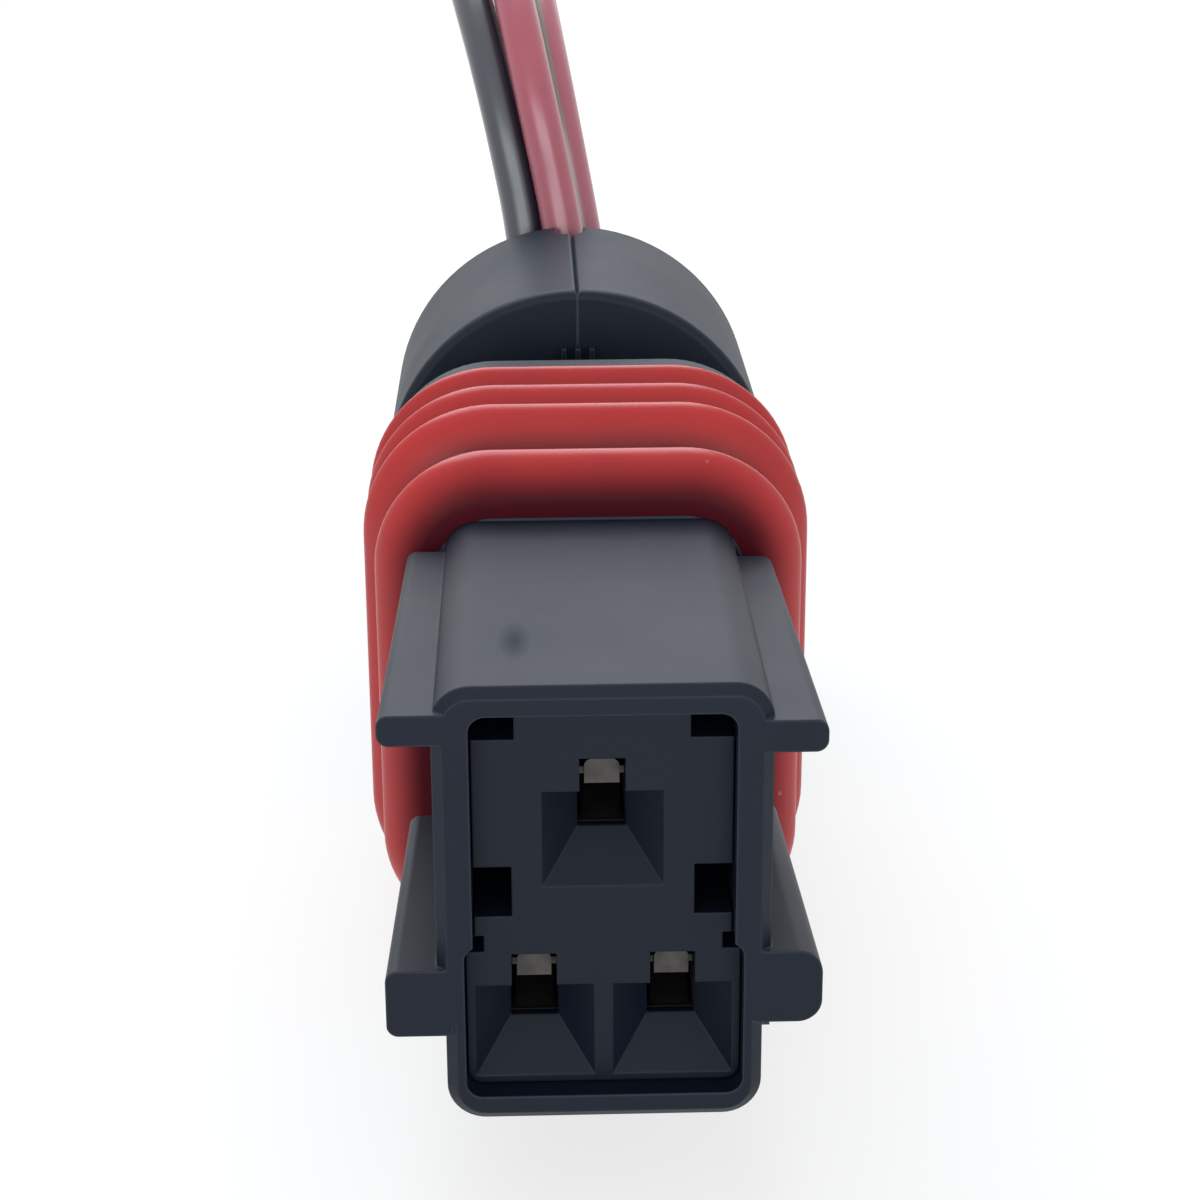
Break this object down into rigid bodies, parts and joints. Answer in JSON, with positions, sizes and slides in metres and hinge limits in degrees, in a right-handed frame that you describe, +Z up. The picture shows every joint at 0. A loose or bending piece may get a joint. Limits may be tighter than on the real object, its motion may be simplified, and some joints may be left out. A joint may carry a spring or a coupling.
{
  "type": "sensor connector",
  "caption": "Sealed wire-side sensor plug: rectangular nose with key ribs and funnels, ribbed red seal, round-topped wire cover and a short tail of wires.",
  "frame": {"origin": "middle of the body's footprint, on the surface that it lies on, wires left out", "axes": "+Z up, the nose points to -Y and the wires leave to +Y, X across"},
  "size_m": [0.0211, 0.1144, 0.0381],
  "materials": {
    "housing_plastic": "moulded glass-filled plastic, satin",
    "lock_plastic": "moulded plastic, satin",
    "cover_plastic": "moulded plastic, fine satin",
    "seal_silicone": "oiled silicone, satin",
    "wire_seal_silicone": "oiled silicone, satin",
    "tinned_alloy": "bright tin plating on stamped copper alloy",
    "tinned_strands": "tinned copper strands",
    "insulation_red": "extruded insulation, satin",
    "insulation_black": "extruded insulation, satin",
    "insulation_striped": "extruded insulation with a tracer stripe"
  },
  "bodies": {
    "root": {"connector_housing": "housing_plastic", "front_lock": "lock_plastic", "perimeter_seal": "seal_silicone", "seal_retainer": "lock_plastic", "cover_half_left": "cover_plastic", "cover_half_right": "cover_plastic", "terminal_red": "tinned_alloy", "wire_seal_red": "wire_seal_silicone", "conductor_red": "tinned_strands", "wire_red": "insulation_red", "bare_tip_red": "tinned_strands", "terminal_black": "tinned_alloy", "wire_seal_black": "wire_seal_silicone", "conductor_black": "tinned_strands", "wire_black": "insulation_black", "bare_tip_black": "tinned_strands", "terminal_striped": "tinned_alloy", "wire_seal_striped": "wire_seal_silicone", "conductor_striped": "tinned_strands", "wire_striped": "insulation_striped", "bare_tip_striped": "tinned_strands"}
  },
  "joints": []
}
